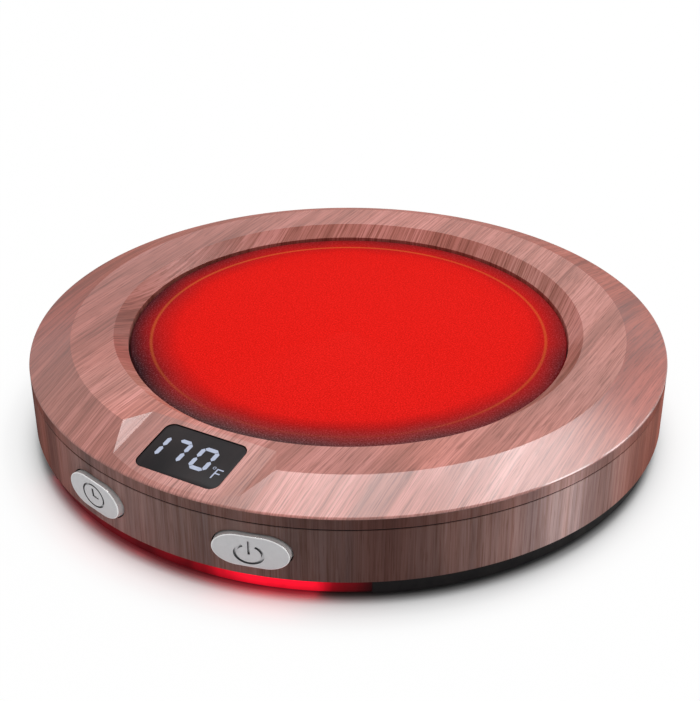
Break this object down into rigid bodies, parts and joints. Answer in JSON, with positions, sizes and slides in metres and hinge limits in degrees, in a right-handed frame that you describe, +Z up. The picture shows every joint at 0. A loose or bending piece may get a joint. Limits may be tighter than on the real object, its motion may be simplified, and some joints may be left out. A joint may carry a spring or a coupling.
{
  "type": "electric mug warmer",
  "caption": "Round wood-grain mug warmer with a recessed glowing heating plate, a tilted temperature display, a power and a timer push button and a red night light in its base.",
  "frame": {"origin": "centre of the round footprint, on the surface that the feet stand on", "axes": "+Z up through the centre of the heating plate, -Y towards the display and the user, +X to the user's right"},
  "size_m": [0.15, 0.1519, 0.0241],
  "materials": {
    "wood_print": "satin wood-grain print on ABS",
    "black_plastic": "fine matt",
    "red_diffuser": "frosted translucent",
    "silver_button": "satin metallic paint",
    "coated_aluminium": "fine-textured black non-stick coating",
    "window_acrylic": "smoked and polished",
    "rubber": "matt",
    "steel": "plain",
    "felt": "ceramic-fibre felt",
    "heater_case": "plain",
    "board": "solder-masked glass-epoxy",
    "component_black": "moulded",
    "ferrite": "ferrite with a taped winding",
    "capacitor_sleeve": "shrink sleeve",
    "connector_white": "nylon",
    "terminal_green": "moulded",
    "led": "clear resin"
  },
  "bodies": {
    "housing": {"top_cover": "wood_print", "body_ring": "wood_print", "base_cover": "black_plastic", "light_guide": "red_diffuser", "led_board": "board", "glow_leds": "led", "rubber_feet": "rubber", "housing_screws": "steel", "heating_plate": "coated_aluminium", "heating_element": "heater_case", "insulation_sheet": "felt", "clamp_bar": "steel", "plate_studs": "steel", "clamp_nuts": "steel", "thermostat": "component_black", "thermal_fuse": "heater_case", "fuse_clip": "steel", "display_window": "window_acrylic", "display_module": "component_black", "display_board": "board", "control_chip": "component_black", "power_switch": "component_black", "timer_switch": "component_black", "switch_boards": "board", "main_board": "board", "transformer": "ferrite", "filter_capacitor": "capacitor_sleeve", "heater_triac": "component_black", "mains_terminal": "terminal_green", "line_fuse": "component_black", "board_connectors": "connector_white", "cord_grommet": "rubber"},
    "power_button": {"power_button": "silver_button", "power_plunger": "component_black"},
    "timer_button": {"timer_button": "silver_button", "timer_plunger": "component_black"}
  },
  "joints": [
    {"name": "power_press", "type": "slide", "parent": "housing", "child": "power_button", "axis": [-0.2554, 0.9668, 0], "range_m": [0, 0.0008], "stiffness_N_per_m": 1500, "springref_m": -0.0004},
    {"name": "timer_press", "type": "slide", "parent": "housing", "child": "timer_button", "axis": [0.2554, 0.9668, 0], "range_m": [0, 0.0008], "stiffness_N_per_m": 1500, "springref_m": -0.0004}
  ]
}
